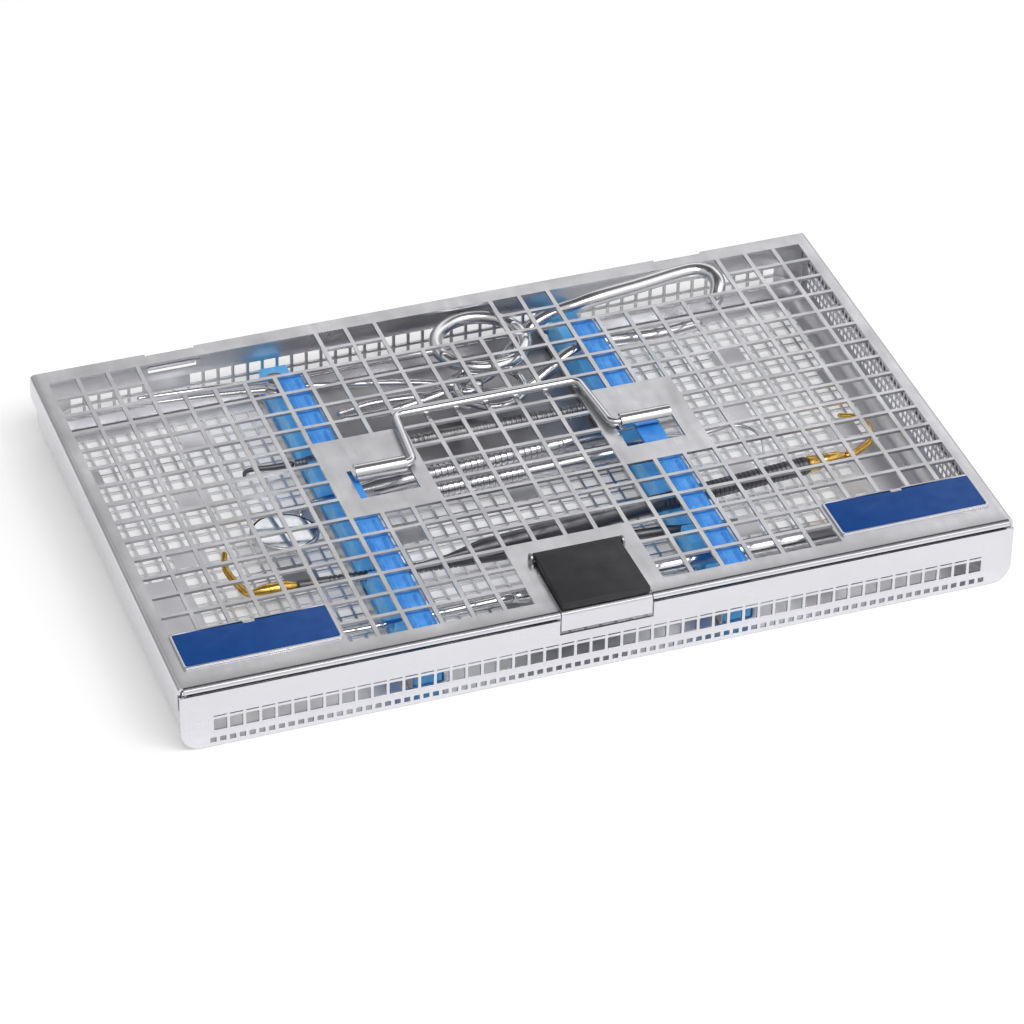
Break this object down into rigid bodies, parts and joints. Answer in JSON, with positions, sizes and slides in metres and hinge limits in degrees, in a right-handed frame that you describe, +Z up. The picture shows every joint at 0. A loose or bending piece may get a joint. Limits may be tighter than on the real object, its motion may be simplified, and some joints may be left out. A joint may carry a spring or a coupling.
{
  "type": "dental instrument cassette",
  "caption": "Closed stainless steel sterilisation cassette with a mesh lid, latch and bail handle, holding a mouth mirror, scalers, forceps, an elevator and a probe.",
  "frame": {"origin": "on the table under the middle of the tray", "axes": "+X right along the long side, -Y towards the side with the latch, +Z up"},
  "size_m": [0.275, 0.176, 0.028],
  "materials": {
    "satin_steel": "satin",
    "polished_steel": "polished",
    "knurled_steel": "knurled",
    "titanium_nitride_gold": "satin",
    "blue_silicone": "matte",
    "blue_label": "satin",
    "black_plastic": "moulded",
    "mirror_glass": "polished"
  },
  "bodies": {
    "tray": {"tray_pan": "satin_steel", "front_wall": "satin_steel", "back_wall": "satin_steel", "hinge_pin_left": "polished_steel", "hinge_pin_right": "polished_steel", "silicone_comb_left": "blue_silicone", "silicone_comb_right": "blue_silicone", "comb_channel_left": "satin_steel", "comb_channel_right": "satin_steel", "mirror_handle": "knurled_steel", "mirror_stem": "polished_steel", "mirror_cup": "polished_steel", "mirror_glass": "mirror_glass", "left_scaler_handle": "knurled_steel", "left_scaler_ferrule": "titanium_nitride_gold", "left_scaler_tip": "titanium_nitride_gold", "right_scaler_handle": "knurled_steel", "right_scaler_ferrule": "titanium_nitride_gold", "right_scaler_tip": "titanium_nitride_gold", "artery_forceps_half_a": "polished_steel", "artery_forceps_rivet": "polished_steel", "extraction_forceps_half_a": "polished_steel", "extraction_forceps_rivet": "polished_steel", "elevator_handle": "polished_steel", "elevator_blade": "polished_steel", "probe_handle": "polished_steel", "probe_tip": "polished_steel", "curette_handle": "knurled_steel", "curette_tip": "knurled_steel"},
    "lid": {"lid_panel": "satin_steel", "lid_strip_left": "blue_silicone", "lid_strip_right": "blue_silicone", "label_left": "blue_label", "label_right": "blue_label", "latch_pin": "polished_steel"},
    "handle": {"handle_bail": "polished_steel"},
    "latch": {"latch_cover": "black_plastic", "latch_hook": "satin_steel", "latch_rivet_left": "polished_steel", "latch_rivet_right": "polished_steel"},
    "artery_half": {"artery_forceps_half_b": "polished_steel"},
    "extraction_half": {"extraction_forceps_half_b": "polished_steel"}
  },
  "joints": [
    {"name": "lid_hinge", "type": "hinge", "parent": "tray", "child": "lid", "pos_m": [0, 0.08605, 0.0203], "axis": [-1, 0, 0], "range_deg": [0, 110]},
    {"name": "handle_hinge", "type": "hinge", "parent": "lid", "child": "handle", "pos_m": [0, 0, 0.0253], "axis": [1, 0, 0], "range_deg": [0, 180]},
    {"name": "latch_hinge", "type": "hinge", "parent": "lid", "child": "latch", "pos_m": [0, -0.0599, 0.0251], "axis": [-1, 0, 0], "range_deg": [0, 60], "stiffness_Nm_per_rad": 0.05, "springref_deg": -5.73},
    {"name": "artery_forceps_joint", "type": "hinge", "parent": "tray", "child": "artery_half", "pos_m": [-0.06, 0.066, 0.017], "axis": [0, 0, -1], "range_deg": [0, 8]},
    {"name": "extraction_forceps_joint", "type": "hinge", "parent": "tray", "child": "extraction_half", "pos_m": [0.002, 0.0535, 0.01], "axis": [0, 0, -1], "range_deg": [0, 4]}
  ]
}
